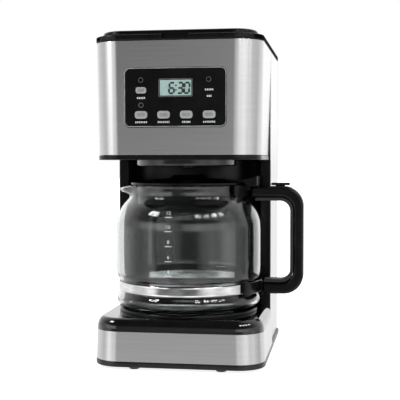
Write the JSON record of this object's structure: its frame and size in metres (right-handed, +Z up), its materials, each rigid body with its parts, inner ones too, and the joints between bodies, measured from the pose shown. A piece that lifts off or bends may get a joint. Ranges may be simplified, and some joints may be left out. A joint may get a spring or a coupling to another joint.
{
  "type": "drip coffee maker",
  "caption": "Countertop drip coffee maker with a glass carafe on its hot plate, a hinged top lid, a rear water tank and a button panel with a display.",
  "frame": {"origin": "middle of the footprint, at the level of the table", "axes": "+Z up, the front with the buttons faces -Y, the carafe's handle points to +X"},
  "size_m": [0.2226, 0.2398, 0.36],
  "materials": {
    "pan_plastic": "satin black moulded plastic",
    "gloss_trim": "gloss black moulded plastic",
    "satin_black": "satin black moulded plastic",
    "inner_plastic": "dark grey moulded plastic",
    "brushed_steel": "fine brushed stainless steel",
    "bright_steel": "bright polished steel",
    "plate_coating": "black non-stick coated steel",
    "heater_aluminium": "cast and drawn aluminium",
    "rubber": "black rubber",
    "silicone": "pale silicone rubber",
    "glass": "clear borosilicate glass",
    "button_grey": "light grey moulded plastic",
    "lcd": "green-grey liquid crystal window",
    "board": "green circuit board"
  },
  "bodies": {
    "housing": {"base_pan": "pan_plastic", "base_housing": "inner_plastic", "base_steel_band": "brushed_steel", "base_top_cover": "gloss_trim", "plate_ring": "gloss_trim", "hot_plate": "plate_coating", "heating_element": "heater_aluminium", "thermostat": "heater_aluminium", "foot_front_left": "rubber", "foot_front_right": "rubber", "foot_rear_left": "rubber", "foot_rear_right": "rubber", "base_screw_1": "bright_steel", "base_screw_2": "bright_steel", "base_screw_3": "bright_steel", "base_screw_4": "bright_steel", "tower_front": "satin_black", "tower_side_left": "brushed_steel", "tower_side_right": "brushed_steel", "rear_housing": "satin_black", "cord_gland": "rubber", "water_reservoir": "inner_plastic", "check_valve": "silicone", "feed_hose": "silicone", "riser_tube": "silicone", "head_housing": "inner_plastic", "head_steel_wrap": "brushed_steel", "head_bottom": "satin_black", "top_rim": "gloss_trim", "basket_holder": "gloss_trim", "control_panel": "gloss_trim", "lcd_display": "lcd", "control_board": "board", "lid_pin_left": "bright_steel", "lid_pin_right": "bright_steel", "brew_basket": "inner_plastic", "drip_spring": "bright_steel"},
    "carafe": {"carafe_glass": "glass", "carafe_band": "bright_steel", "band_bracket": "satin_black", "neck_clamp": "satin_black", "handle_shell": "satin_black", "handle_grip_strip": "rubber", "handle_screw": "bright_steel", "carafe_lid_pin": "bright_steel"},
    "carafe_lid": {"carafe_lid": "satin_black", "thumb_lever": "satin_black"},
    "top_lid": {"top_lid": "gloss_trim", "spray_head": "inner_plastic"},
    "drip_valve": {"drip_stop": "satin_black"},
    "key_set": {"button_set": "button_grey"},
    "key_hour": {"button_hour": "button_grey"},
    "key_minute": {"button_minute": "button_grey"},
    "key_power": {"button_power": "button_grey"},
    "key_select": {"button_select": "button_grey"}
  },
  "joints": [
    {"name": "top_lid_hinge", "type": "hinge", "parent": "housing", "child": "top_lid", "pos_m": [-0.01871, 0.1011, 0.3574], "axis": [-1, 0, 0], "range_deg": [0, 95]},
    {"name": "carafe_slide", "type": "slide", "parent": "housing", "child": "carafe", "axis": [0, -1, 0], "range_m": [0, 0.18]},
    {"name": "carafe_lid_hinge", "type": "hinge", "parent": "carafe", "child": "carafe_lid", "pos_m": [0.05379, -0.0319, 0.1995], "axis": [0, 1, 0], "range_deg": [0, 4]},
    {"name": "drip_stop_lift", "type": "slide", "parent": "housing", "child": "drip_valve", "axis": [0, 0, 1], "range_m": [0, 0.003], "stiffness_N_per_m": 150, "springref_m": -0.001, "deforming": ["drip_spring"]},
    {"name": "set_press", "type": "slide", "parent": "housing", "child": "key_set", "axis": [0, 1, 0], "range_m": [0, 0.0012], "stiffness_N_per_m": 400},
    {"name": "hour_press", "type": "slide", "parent": "housing", "child": "key_hour", "axis": [0, 1, 0], "range_m": [0, 0.0012], "stiffness_N_per_m": 400},
    {"name": "minute_press", "type": "slide", "parent": "housing", "child": "key_minute", "axis": [0, 1, 0], "range_m": [0, 0.0012], "stiffness_N_per_m": 400},
    {"name": "power_press", "type": "slide", "parent": "housing", "child": "key_power", "axis": [0, 1, 0], "range_m": [0, 0.0012], "stiffness_N_per_m": 400},
    {"name": "select_press", "type": "slide", "parent": "housing", "child": "key_select", "axis": [0, 1, 0], "range_m": [0, 0.0012], "stiffness_N_per_m": 400}
  ]
}
